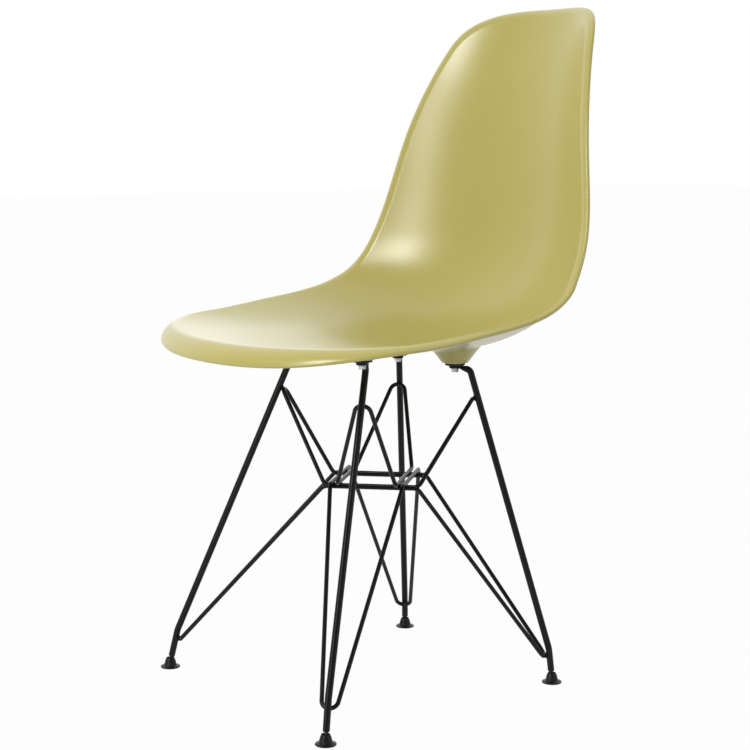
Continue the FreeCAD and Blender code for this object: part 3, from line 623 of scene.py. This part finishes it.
@dataclass
class Shell:
    """The moulded shell: dish, rolled lip, rounded edge, underside and four bosses.

    The centre line runs from the nose to the top. Half width and rise stand at even stations
    along it. A corner is its length and power, and a lip its radius and angle.
    """

    line_y: tuple[float, ...] = (-236.6, -170.4, -29.2, 75.4, 143.7, 200.1, 210.6, 226.3, 248.2)
    line_z: tuple[float, ...] = (428.9, 422.7, 411.7, 407.4, 433.0, 525.6, 645.8, 737.6, 805.1)
    half_width: tuple[float, ...] = (204.5, 216.5, 218.0, 203.1, 186.6, 151.9, 101.5)
    rise: tuple[float, ...] = (13.0, 20.4, 47.8, 66.5, 64.6, 46.5, 24.8)
    power: float = 2.23
    front_corner: Pair = (114.8, 1.93)
    top_corner: Pair = (60.0, 2.95)
    front_share: float = 0.3
    top_share: float = 0.25
    side_lip: Pair = (14.8, 50.9)
    front_lip: Pair = (22.9, 85.6)
    top_lip: Pair = (14.0, 58.0)
    wall: float = 5.0
    middle: float = 0.42
    boss_radius: float = 15.5
    boss_draft: float = 37.0
    boss_reach: float = 62.0
    boss_blend: float = 1.6
    face_blend: float = 0.35
    skin_gap: float = 0.02
    sink: float = 0.7
    sink_from: float = 50.0
    sink_over: float = 10.0
    probe: float = 1.0
    samples: int = 2401
    around: int = 384
    dish_rows: int = 52
    lip_rows: int = 10
    edge_rows: int = 6
    boss_rows: int = 60
    boss_around: int = 84

    def __post_init__(self) -> None:
        """Lay the splines along the centre line."""
        line = np.array([self.line_y, self.line_z])
        knots = travelled(line.T)
        self.length = float(knots[-1])
        self.spline_y, self.spline_z = [NaturalSpline(knots, values) for values in line]
        stations = np.linspace(0, self.length, len(self.half_width))
        self.spline_width = NaturalSpline(stations, np.array(self.half_width))
        self.spline_rise = NaturalSpline(stations, np.array(self.rise))

    def dish(self, along: Array, across: Array) -> Array:
        """Return points of the upper surface.

        The centre line is carried sideways and raised along its normal by
        rise * |across / half width| ^ power.

        Args:
            along: Distance along the centre line from the nose.
            across: Distance towards the sitter's left.

        Returns:
            A point for each place.
        """
        half = self.probe / 2
        inside = np.clip(along, 0, self.length)
        near = np.clip(along, half, self.length - half)
        run_y = self.spline_y(near + half) - self.spline_y(near - half)
        run_z = self.spline_z(near + half) - self.spline_z(near - half)
        size = np.hypot(run_y, run_z)
        lift = self.spline_rise(inside) * np.abs(across / self.spline_width(inside)) ** self.power
        return np.stack([across, self.spline_y(inside) - lift * run_z / size,
                         self.spline_z(inside) + lift * run_y / size], axis=-1)

    def normal(self, along: Array, across: Array) -> Array:
        """Return unit normals of the upper surface, towards the sitter, by central differences.

        Args:
            along: Distance along the centre line from the nose.
            across: Distance towards the sitter's left.

        Returns:
            A normal for each place.
        """
        down = self.dish(along + self.probe, across) - self.dish(along - self.probe, across)
        side = self.dish(along, across + self.probe) - self.dish(along, across - self.probe)
        return unit(np.cross(side, down))

    def crest(self) -> tuple[Array, Array]:
        """Return evenly spaced places of the lip's crest, right round from the nose.

        The front corner follows 1 - cos(t)^p along and sin(t)^p across, the top corner the
        other way round, with p twice the inverse of the corner's power; the sides are straight.

        Returns:
            The places along and across.
        """
        turn = np.linspace(0, 1, self.samples)
        (front, front_power), (top, top_power) = self.front_corner, self.top_corner
        late = 1 - self.top_share
        first = np.clip(turn / self.front_share, 0, 1) * np.pi / 2
        last = np.clip((turn - late) / self.top_share, 0, 1) * np.pi / 2
        straight = (turn - self.front_share) / (late - self.front_share)
        zones = [turn < self.front_share, turn < late]
        along = np.select(zones, [front * (1 - np.cos(first) ** (2 / front_power)),
                                  front + (self.length - front - top) * straight],
                          self.length - top + top * np.sin(last) ** (2 / top_power))
        across = np.select(zones, [np.sin(first) ** (2 / front_power), np.ones_like(turn)],
                           np.maximum(np.cos(last), 0) ** (2 / top_power))
        across = across * self.spline_width(along)
        run = travelled(np.stack([along, across], axis=1))
        even = np.linspace(0, run[-1], self.around // 2 + 1)
        along, across = np.interp(even, run, along), np.interp(even, run, across)
        return np.concatenate([along, along[-2:0:-1]]), np.concatenate([across, -across[-2:0:-1]])

    def lip(self, along: Array) -> tuple[Array, Array]:
        """Return the lip's radius and angle, blended from the sides into nose and top.

        Args:
            along: Distance along the centre line from the nose.

        Returns:
            The radius, and the angle in radians.
        """
        front = smooth(1 - along / self.front_corner[0])
        top = smooth(1 - (self.length - along) / self.top_corner[0])
        radius, angle = [side + (nose - side) * front + (head - side) * top
                         for side, nose, head in zip(self.side_lip, self.front_lip, self.top_lip)]
        return radius, np.radians(angle)

    def skin(self) -> Patch:
        """Return the wall as one closed surface.

        Rings of the dish shrink the crest towards the middle by sin(t). The lip is an arc that
        leaves the crest along the surface and turns down. The edge is a half circle, and the
        underside is the same rings set back by the wall.

        Returns:
            The wall without its bosses.
        """
        along, across = self.crest()
        middle = self.middle * self.length
        share = np.sin(np.linspace(0, np.pi / 2, self.dish_rows + 1))[:, None]
        places = middle + share * (along - middle), share * across
        upper, normal = self.dish(*places), self.normal(*places)
        rim, rim_normal = upper[-1], normal[-1]
        outward = unit(np.cross(np.roll(rim, -1, axis=0) - np.roll(rim, 1, axis=0), rim_normal))
        radius, angle = self.lip(along)
        turn = np.linspace(0, 1, self.lip_rows + 1)[1:, None] * angle
        sine, cosine = np.sin(turn)[..., None], np.cos(turn)[..., None]
        arc = radius[None, :, None] * (sine * outward - (1 - cosine) * rim_normal)
        upper = np.concatenate([upper, rim + arc])
        normal = np.concatenate([normal, cosine * rim_normal + sine * outward])
        onward = np.cos(angle)[:, None] * outward - np.sin(angle)[:, None] * rim_normal
        half = self.wall / 2
        turn = np.linspace(0, np.pi, self.edge_rows + 2)[1:-1, None, None]
        edge = upper[-1] + half * ((np.cos(turn) - 1) * normal[-1] + np.sin(turn) * onward)
        lower = (upper - normal * self.wall)[::-1]
        return grid_patch(np.concatenate([upper, edge, lower]), pole_start=True, pole_end=True)

    def boss(self, corner: Corner) -> Patch:
        """Return one boss as a skin over the underside.

        At distance r from the screw the cone stands at mount height + (r - face radius) / tan
        of the draft, never below the face. The skin is the smooth minimum of that cone and the
        underside, so the foot of the boss flows into the shell. Its rim sinks into the wall.

        Args:
            corner: The corner whose screw the boss takes.

        Returns:
            The boss, closed inside the wall.
        """
        mount = np.array(corner.mount)
        guess = np.linspace(0, self.length / 2, 4000)
        base = self.dish(guess, np.full_like(guess, mount[0]))
        start = guess[np.argmin(np.abs(base[:, 1] - mount[1]))]
        reach = np.linspace(0, self.boss_reach, self.boss_rows)[:, None]
        turn = circle(self.boss_around)
        places = start + reach * np.cos(turn), mount[0] + reach * np.sin(turn)
        top, normal = self.dish(*places), self.normal(*places)
        under = top - normal * self.wall
        distance = np.hypot(under[..., 0] - mount[0], under[..., 1] - mount[1])
        rise = (distance - self.boss_radius) / math.tan(math.radians(self.boss_draft))
        face, blend = self.face_blend, self.boss_blend
        cone = mount[2] + face * np.logaddexp(0, np.clip(rise / face, -60, 200))
        sunk = self.sink * smooth((reach - self.sink_from) / self.sink_over)
        skin = under[..., 2] - self.skin_gap
        height = np.minimum(sunk - blend * np.logaddexp(-skin / blend, -cone / blend),
                            under[..., 2] + sunk)
        outer = np.stack([under[..., 0], under[..., 1], height], axis=-1)
        inner = top - normal * (self.wall / 2)
        return grid_patch(np.concatenate([outer, inner[::-1]]), pole_start=True, pole_end=True)

    def build(self, finish: Material) -> None:
        """Build the shell with its bosses.

        Args:
            finish: The shell's material.
        """
        patches = [self.skin()] + [self.boss(corner) for corner in CORNERS]
        make_piece("shell", patches, finish, FRAME_BODY, ["seat_shell"],
                   sharp=50.0)


# Base

@dataclass
class Base:
    """Legs, wire loops and welds. A bead's size is its three half axes."""

    rod: float = 4.0
    wire: float = 2.55
    rod_bend: float = 7.0
    low_bend: float = 30.0
    rod_start: float = 4.4
    press_length: float = 11.0
    press_width: float = 2.3
    spacer: float = SPACER_THICKNESS
    eye_radius: float = 7.0
    eye_thickness: float = EYE_THICKNESS
    eye_lift: float = 0.2
    eye_round: float = 0.5
    strap_reach: float = 10.0
    strap_half: float = 5.6
    neck: float = 7.0
    chamfer: float = 0.9
    centre_y: float = -16.2
    loop_turn: float = 43.5
    bar_half: float = 56.5
    upper_half: float = 35.1
    lower_half: float = 43.7
    bar_height: float = 243.2
    bar_bend: float = 10.0
    arch_bend: float = 9.5
    gap: float = 0.05
    arch_bead: Triple = (3.0, 3.6, 1.7)
    cross_bead: Triple = (1.9, 1.9, 0.9)
    ripple: Pair = (0.07, 0.05)
    arc_step: float = 5.0
    rod_sides: int = 40
    wire_sides: int = 28

    def leg_points(self, corner: Corner) -> tuple[Array, Array]:
        """Return the corner points of a leg's axis.

        Args:
            corner: The leg's corner.

        Returns:
            The top, low bend and ball centre, and the outward direction in plan.
        """
        mount, foot = np.array(corner.mount), np.array([*corner.foot, BALL_HEIGHT])
        run = (foot - mount) * np.array([1, 1, 0])
        reach = np.linalg.norm(run)
        heading = run / reach
        rod_z = mount[2] - self.spacer - self.rod - self.eye_lift
        low_reach = reach - (corner.low_z - foot[2]) * math.tan(math.radians(corner.tail_lean))
        top_reach = low_reach - (rod_z - corner.low_z) * math.tan(math.radians(corner.lean))
        base = np.array([mount[0], mount[1], 0.0])
        return np.stack([base + heading * top_reach + UP * rod_z,
                         base + heading * low_reach + UP * corner.low_z, foot]), heading

    def axis_at(self, corner: Corner, height: float) -> tuple[Array, Array]:
        """Find where a leg's axis passes a height.

        Args:
            corner: The leg's corner.
            height: Height above the floor.

        Returns:
            The point, and the axis's upward direction there.
        """
        (top, low, foot), _ = self.leg_points(corner)
        lower, upper = (low, top) if height > low[2] else (foot, low)
        run = upper - lower
        return lower + run * ((height - lower[2]) / run[2]), unit(run)

    def leg(self, corner: Corner) -> list[Patch]:
        """Return the rod and its coined eye.

        The rod is a circle carried along the leg's axis. Towards the eye the circle is pressed
        into an ellipse, wider than high, whose top stays level with the eye.

        Args:
            corner: The leg's corner.

        Returns:
            The rod and the eye.
        """
        (top, low, foot), heading = self.leg_points(corner)
        mount = np.array([corner.mount[0], corner.mount[1], top[2]])
        inward = math.copysign(1.0, (top - mount) @ heading)
        start = mount + heading * inward * self.rod_start
        tail = unit(low - foot)
        end = foot + tail * self.neck
        path = rounded_path(np.stack([start, top, low, end]), [0, self.rod_bend, self.low_bend, 0],
                            step=self.arc_step)
        extra = np.linspace(0, 1, 6)[1:-1, None]
        path = np.concatenate([path[:1], path[0] + extra * (path[1] - path[0]), path[1:-1],
                               (end + tail * self.chamfer)[None], path[-1:]])
        side = np.cross(heading, UP)
        upward = np.cross(side[None], tangents(path, False)) * inward
        press = 1 - smooth(travelled(path) / self.press_length)
        high = self.rod + (self.eye_thickness / 2 - self.rod) * press
        wide = self.rod + self.press_width * press
        wide[-1] -= self.chamfer
        high[-1] -= self.chamfer
        centre = path + upward * ((self.rod + self.eye_lift - high) * press)[:, None]
        angle = circle(self.rod_sides)
        grid = centre[:, None] + (np.cos(angle)[:, None] * (side * wide[:, None])[:, None]
                                  + np.sin(angle)[:, None] * (upward * high[:, None])[:, None])
        caps = [np.repeat(centre[index][None, None], self.rod_sides, axis=1) for index in (0, -1)]
        rod = grid_patch(np.concatenate([caps[0], grid, caps[1]]), pole_start=True, pole_end=True)
        turn = math.atan2(heading[1], heading[0]) + (0 if inward > 0 else math.pi)
        return [rod, moved(self.eye(), mount, turn)]

    def eye(self) -> Patch:
        """Return the flat eye: a rounded rectangle section carried round the screw hole.

        Its outer radius is the larger of the eye's own and the straight sides of the strap,
        which runs along +X. The middle of a rounded corner lies 0.3 of its radius inside both
        faces.

        Returns:
            The eye about the origin.
        """
        turn = circle(96)
        sides = self.strap_half / np.maximum(np.abs(np.sin(turn)), 0.01)
        strap = np.where(np.cos(turn) > 0, np.minimum(self.strap_reach, sides), 0)
        outer = np.maximum(self.eye_radius, strap)
        top = self.rod + self.eye_lift
        bottom = top - self.eye_thickness
        ease, cut = self.eye_round, 0.3 * self.eye_round
        section = np.array([
            (SCREW_HOLE, top, 0), (-ease, top, 1), (-cut, top - cut, 1), (0, top - ease, 1),
            (0, bottom + ease, 1), (-cut, bottom + cut, 1), (-ease, bottom, 1),
            (SCREW_HOLE, bottom, 0)])
        offset, height, share = section.T[..., None]
        return grid_patch(turned(offset + outer * share, height, turn), wrap_rows=True)

    def loop_frame(self, side: int) -> tuple[Array, Array, Array]:
        """Return a loop's own frame. The left loops lie on top of the right ones.

        Args:
            side: 1 for a left loop, -1 for a right one.

        Returns:
            The level directions along and across the bars, and the middle of the bars.
        """
        turn = math.radians(self.loop_turn)
        along = np.array([side * math.sin(turn), -math.cos(turn), 0])
        across = np.array([side * math.cos(turn), math.sin(turn), 0])
        lift = 2 * self.wire + self.gap if side > 0 else 0.0
        return along, across, np.array([0, self.centre_y, self.bar_height + lift])

    def loop_ends(self, side: int) -> list[tuple[Corner, Array]]:
        """Return the corners that a loop joins, a front one and the rear one across from it.

        Args:
            side: 1 for a left loop, -1 for a right one.

        Returns:
            Each corner with the middle of the bars' ends that face it.
        """
        along, _, centre = self.loop_frame(side)
        found = []
        for end, way in ((End.FRONT, 1), (End.REAR, -1)):
            corner = [item for item in CORNERS if item.end is end and item.side == side * way][0]
            found.append((corner, centre + along * (way * self.bar_half)))
        return found

    def crown(self, corner: Corner, level: Level, middle: Array) -> tuple[Array, Array]:
        """Find where the crown of an arch is welded to a leg.

        Args:
            corner: The leg's corner.
            level: The loop's level.
            middle: Middle of the bars' ends.

        Returns:
            The wire's point there, and the unit vector from leg to wire.
        """
        point, direction = self.axis_at(corner, corner.weld_height(level))
        inward = middle - point
        inward = unit(inward - direction * (inward @ direction))
        return point + inward * (self.rod + self.wire + self.gap), inward

    def loop(self, side: int, level: Level) -> Patch:
        """Return one closed wire loop.

        Two level bars pass the middle of the frame. At each of their ends the two branches run
        to an arch whose crown is welded to the leg.

        Args:
            side: 1 for a left loop, -1 for a right one.
            level: The loop's level.

        Returns:
            The loop.
        """
        half = self.upper_half if level is Level.UPPER else self.lower_half
        tips, middles = [], []
        for corner, middle in self.loop_ends(side):
            rise = self.crown(corner, level, middle)[0] - middle
            inner = np.linalg.norm(rise) - self.arch_bend
            slope = math.acos(self.arch_bend / math.hypot(half, inner)) - math.atan2(inner, half)
            tips.append(middle + unit(rise) * (half / math.tan(slope)))
            middles.append(middle)
        offset = self.loop_frame(side)[1] * half
        points = np.stack([tips[0], middles[0] + offset, middles[1] + offset,
                           tips[1], middles[1] - offset, middles[0] - offset])
        bends = [self.arch_bend, self.bar_bend, self.bar_bend] * 2
        path = rounded_path(points, bends, True, self.arc_step)
        return closed_rod(path, self.wire, self.wire_sides)

    def welds(self) -> list[Patch]:
        """Return the weld beads: one at each arch and one at each crossing of two bars.

        Returns:
            Eight beads at the legs, then sixteen in the lattice.
        """
        beads = []
        for side in (-1, 1):
            for corner, middle in self.loop_ends(side):
                for level in Level:
                    crown, inward = self.crown(corner, level, middle)
                    _, upward = self.axis_at(corner, corner.weld_height(level))
                    axes = np.cross(upward, inward), upward, inward
                    beads.append(self.bead(crown - inward * self.wire, axes, self.arch_bead,
                                           len(beads)))
        along, across, centre = self.loop_frame(-1)
        along_high, across_high, _ = self.loop_frame(1)
        centre = centre + UP * self.wire
        offsets = (-self.lower_half, -self.upper_half, self.upper_half, self.lower_half)
        system = np.stack([along[:2], -along_high[:2]], axis=1)
        for low in offsets:
            for high in offsets:
                reach = np.linalg.solve(system, (across_high * high - across * low)[:2])
                spot = centre + across * low + along * reach[0]
                beads.append(self.bead(spot, (along, across, UP), self.cross_bead, len(beads)))
        return beads

    def bead(self, centre: Array, axes: Sequence[Array], size: Triple, seed: int) -> Patch:
        """Return one bead: an ellipsoid whose radius is varied by two small waves.

        At polar angle p and turn t the radius is multiplied by
        1 + (a sin(3t + seed) sin(p) + b sin(5t + 2 seed)) sin(p).

        Args:
            centre: Its middle.
            axes: Its three directions.
            size: Its three half sizes.
            seed: Phase of the waves.

        Returns:
            The bead.
        """
        polar, turn = np.linspace(0, np.pi, 15)[:, None], circle(24)
        strong, weak = self.ripple
        wave = strong * np.sin(3 * turn + seed) * np.sin(polar) + weak * np.sin(5 * turn + 2 * seed)
        swell = 1 + wave * np.sin(polar)
        ball = (swell * np.sin(polar) * np.cos(turn), swell * np.sin(polar) * np.sin(turn),
                swell * np.cos(polar))
        grid = centre + sum((half * part)[..., None] * axis
                            for half, part, axis in zip(size, ball, axes))
        return grid_patch(grid, pole_start=True, pole_end=True)

    def build(self, finish: Material) -> None:
        """Build the legs, loops and welds.

        Args:
            finish: The black paint.
        """
        for corner in CORNERS:
            make_piece("leg_" + corner.name, self.leg(corner), finish, FRAME_BODY,
                       ["leg_rod_" + corner.name])
        for hand in ("right", "left"):
            for level in Level:
                make_piece("%s_wire_%s" % (level.value, hand), [self.loop(SIDES[hand], level)],
                           finish, FRAME_BODY, ["%s_loop_%s" % (level.value, hand)])
        make_piece("weld_beads", self.welds(), finish, FRAME_BODY)


# Mounts and feet

@dataclass
class Mounts:
    """Spacer discs and screws under the bosses."""

    spacer_radius: float = 12.0
    spacer_thickness: float = SPACER_THICKNESS
    spacer_round: float = 0.8
    bore_round: float = 0.15
    bore: float = SCREW_HOLE
    eye_thickness: float = EYE_THICKNESS
    washer: float = 1.2
    flats: float = 8.0
    head: float = 3.5
    head_face: float = 0.46
    head_chamfer: float = 30.0
    head_heights: tuple[float, ...] = (0.0, 0.12, 0.24, 0.36, 0.5, 0.7, 1.0, 2.0)
    head_ease: float = 0.15
    shank: float = 2.5
    length: float = 17.0
    point: float = 0.5

    def spacer(self) -> Patch:
        """Return a disc with rounded edges round its bore.

        Returns:
            The disc on the origin.
        """
        radius, thick = self.spacer_radius, self.spacer_thickness
        outline = np.array([[self.bore, 0], [radius, 0], [radius, thick], [self.bore, thick]])
        bends = [self.bore_round, self.spacer_round, self.spacer_round, self.bore_round]
        return lathe(rounded_path(outline, bends, True, 12.0), 72, closed=True)

    def screw(self) -> Patch:
        """Return a hex screw, its bearing face at the origin and its head below.

        At height t above the head's outer face the outline is the smaller of the hexagon and
        the chamfer's cone. The shank and its point follow above the bearing face.

        Returns:
            The screw.
        """
        turn = circle(120)
        hexagon = self.flats / 2 / np.cos((turn + np.pi / 6) % (np.pi / 3) - np.pi / 6)
        heights = np.array([*self.head_heights, self.head - self.head_ease])
        cone = heights[:, None] / math.tan(math.radians(self.head_chamfer))
        head = np.minimum(hexagon, self.flats * self.head_face + cone)
        shank = [np.full_like(turn, radius)
                 for radius in (self.shank, self.shank, self.shank - self.point, 0)]
        radius = np.stack([np.zeros_like(turn), *head, hexagon - self.head_ease, *shank])
        heights = np.concatenate([[-self.head], heights - self.head,
                                  [0, 0, self.length - self.point, self.length, self.length]])
        return grid_patch(turned(radius, heights[:, None], turn), pole_start=True, pole_end=True)

    def build(self, rubber: Material, zinc: Material) -> None:
        """Build a spacer and a screw at each corner.

        Args:
            rubber: Finish of the spacers.
            zinc: Finish of the screws.
        """
        for corner in CORNERS:
            x, y, z = corner.mount
            make_piece("spacer_" + corner.name,
                       [moved(self.spacer(), (x, y, z - self.spacer_thickness))], rubber,
                       FRAME_BODY, ["rubber_spacer_" + corner.name])
            seat = z - self.spacer_thickness - self.eye_thickness - self.washer
            make_piece("screw_" + corner.name, [moved(self.screw(), (x, y, seat))], zinc,
                       FRAME_BODY, ["mounting_screw_" + corner.name], sharp=25.0)


@dataclass
class Feet:
    """The levelling glides on their balls.

    The outline holds radius and height from the sole's recess, round the rim and the collar,
    to the mouth of the socket, with the radius of the arc at each point.
    """

    outline: tuple[Pair, ...] = ((10.0, 0.6), (10.0, 0.0), (12.0, 0.0), (12.0, 1.5), (7.8, 2.6),
                                 (6.4, 8.6), (4.9, 12.1), (4.3, 12.1), (3.64, 8.8))
    bends: tuple[float, ...] = (0, 0.2, 0.5, 0.6, 1.2, 4.0, 0.25, 0.2, 0)
    recess: float = 0.6
    socket: float = 4.06
    mouth: float = 1.8

    def glide(self) -> Patch:
        """Return a glide turned from its section: sole, rim, collar and spherical socket.

        Returns:
            The glide on the origin.
        """
        body = rounded_path(np.array(self.outline), self.bends, step=10.0)
        angle = np.linspace(math.asin(self.mouth / self.socket), -math.pi / 2, 16)[1:]
        bowl = np.stack([self.socket * np.cos(angle),
                         BALL_HEIGHT + self.socket * np.sin(angle)], axis=-1)
        bowl[-1, 0] = 0
        return lathe(np.concatenate([[[0.0, self.recess]], body, bowl]))

    def build(self, plastic: Material) -> None:
        """Build the four glides, each on its own body.

        Args:
            plastic: Finish of the glides.
        """
        for corner in CORNERS:
            make_piece("foot_" + corner.name, [moved(self.glide(), (*corner.foot, 0.0))], plastic,
                       "glide_" + corner.name, ["glide_" + corner.name])


KEPT_NODES = {"lock_washer": "zinc_plate", "threaded_insert": "insert_brass",
              "ball_stud": "stud_steel"}


def dress_nodes(finishes: dict[str, Material]) -> None:
    """Give the washers, inserts and ball studs, kept as they are, their finishes.

    Args:
        finishes: Material of each slot.
    """
    for name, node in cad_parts.items():
        for start, slot in KEPT_NODES.items():
            if name.startswith(start):
                node.data.materials.clear()
                node.data.materials.append(finishes[slot])


# Studio, with lengths in metres

def placed(right: Sequence[float], upward: Sequence[float], back: Sequence[float],
           at: Sequence[float]) -> Matrix:
    """Return the matrix whose columns are three axes and a place."""
    return Matrix([*zip(right, upward, back, at), (0, 0, 0, 1)])


@dataclass(frozen=True)
class Lamp:
    """A rectangular soft light: its place, the point it faces, width and height, and watts."""

    name: str
    at: Triple
    towards: Triple
    size: Pair
    power: float

    def hang(self) -> None:
        """Add the light to the scene, hidden from the camera."""
        data = bpy.data.lights.new(self.name, "AREA")
        data.shape = "RECTANGLE"
        data.size, data.size_y = self.size
        data.energy = self.power
        lamp = bpy.data.objects.new(self.name, data)
        back = unit(np.array(self.at) - np.array(self.towards))
        side = unit(np.cross(UP, back))
        lamp.matrix_world = placed(side, np.cross(back, side), back, self.at)
        lamp.visible_camera = False
        bpy.context.scene.collection.objects.link(lamp)


LAMPS = (
    Lamp("key", (0.40, -2.50, 2.10), (0, 0, 0.5), (0.6, 0.95), 32.0),
    Lamp("front", (0.5, -2.85, 0.85), (0, 0, 0.6), (0.5, 1.3), 16.0),
    Lamp("sheen", (-2.5, 1.6, 0.85), (0, -0.1, 0.4), (1.5, 1.1), 3.0),
    Lamp("overhead", (0.2, -0.4, 3.0), (0, 0, 0.4), (2.4, 2.4), 3.0),
    Lamp("side", (2.6, 1.0, 1.6), (0, 0, 0.5), (0.9, 2.2), 12.0),
)


@dataclass
class Studio:
    """Floor, backdrop, lights and camera.

    The glows are how much of the floor is plain white to the camera and to reflections. The
    backdrop is the direction from which the world shines most; away from it, past the fades,
    the strength falls to the dim value.
    """

    camera_at: Triple = (1.71647, -1.24789, 0.66736)
    right: Triple = (0.58161, 0.81347, 0.00134)
    upward: Triple = (-0.11088, 0.07765, 0.99080)
    forward: Triple = (-0.80588, 0.57641, -0.13535)
    focal_pixels: float = 1774.436
    frame_pixels: float = 750.0
    principal: Pair = (372.88, 369.338)
    floor_half: float = 14.0
    floor_shade: float = 0.45
    floor_roughness: float = 0.9
    camera_glow: float = 0.975
    reflected_glow: float = 0.85
    backdrop: Triple = (-0.80, 0.57, 0.18)
    fade_from: float = -0.3
    fade_to: float = 0.75
    dim: float = 0.30

    def camera(self) -> None:
        """Set the camera to the photograph's viewpoint and framing."""
        data = bpy.data.cameras.new("camera")
        data.sensor_width = 36.0
        data.lens = data.sensor_width * self.focal_pixels / self.frame_pixels
        data.shift_x = 0.5 - self.principal[0] / self.frame_pixels
        data.shift_y = self.principal[1] / self.frame_pixels - 0.5
        data.clip_end = 100.0
        camera = bpy.data.objects.new("camera", data)
        back = [-part for part in self.forward]
        camera.matrix_world = placed(self.right, self.upward, back, self.camera_at)
        bpy.context.scene.collection.objects.link(camera)
        bpy.context.scene.camera = camera

    def floor(self) -> None:
        """Lay a large floor that the camera sees almost white, with a trace of soft shadow."""
        mesh = bpy.data.meshes.new("floor")
        size = self.floor_half
        mesh.from_pydata([(-size, -size, 0), (size, -size, 0), (size, size, 0), (-size, size, 0)],
                         [], [(0, 1, 2, 3)])
        floor = bpy.data.objects.new("floor", mesh)
        bpy.context.scene.collection.objects.link(floor)
        material = bpy.data.materials.new("pale_floor")
        material.use_nodes = True
        tree = material.node_tree
        shader = tree.nodes["Principled BSDF"]
        feed(tree, shader, {"Base Color": (*[self.floor_shade] * 3, 1),
                            "Roughness": self.floor_roughness})
        glow = add_node(tree, "Emission", {"Color": WHITE})
        rays = add_node(tree, "LightPath", {}).outputs
        share = math_node(
            tree, "MAXIMUM", math_node(tree, "MULTIPLY", rays["Is Camera Ray"], self.camera_glow),
            math_node(tree, "MULTIPLY", rays["Is Glossy Ray"], self.reflected_glow))
        blend = add_node(tree, "MixShader", {0: share, 1: shader.outputs[0], 2: glow.outputs[0]})
        feed(tree, tree.nodes["Material Output"], {"Surface": blend.outputs[0]})
        mesh.materials.append(material)

    def world(self) -> None:
        """Show plain white to the camera, and light the scene most from the backdrop's side."""
        world = bpy.data.worlds.new("studio")
        bpy.context.scene.world = world
        world.use_nodes = True
        tree = world.node_tree
        tree.nodes.clear()
        place = add_node(tree, "TexCoord", {}).outputs["Generated"]
        facing = add_node(tree, "VectorMath", {0: place, 1: self.backdrop}, operation="DOT_PRODUCT")
        rise = add_node(tree, "MapRange", {
            "Value": facing.outputs["Value"], "From Min": self.fade_from, "From Max": self.fade_to,
            "To Min": self.dim, "To Max": 1.0}, interpolation_type="SMOOTHSTEP")
        rays = add_node(tree, "LightPath", {}).outputs
        strength = math_node(tree, "MAXIMUM", rise.outputs["Result"], rays["Is Camera Ray"])
        white = add_node(tree, "Background", {"Color": WHITE, "Strength": strength})
        add_node(tree, "OutputWorld", {"Surface": white.outputs[0]})

    def build(self) -> None:
        """Set up the whole studio."""
        self.camera()
        self.floor()
        self.world()
        for lamp in LAMPS:
            lamp.hang()
        bpy.context.scene.view_settings.view_transform = "Standard"


def main() -> None:
    """Build every sub-assembly in order."""
    group = SurfaceLife().group()
    finishes = {finish.slot: finish.material(group) for finish in FINISHES}
    Shell().build(finishes["shell_plastic"])
    Base().build(finishes["black_paint"])
    Mounts().build(finishes["spacer_rubber"], finishes["zinc_plate"])
    Feet().build(finishes["glide_plastic"])
    dress_nodes(finishes)
    Studio().build()


if __name__ == "__main__":
    logging.basicConfig(level=logging.INFO, format="%(message)s")
    main()
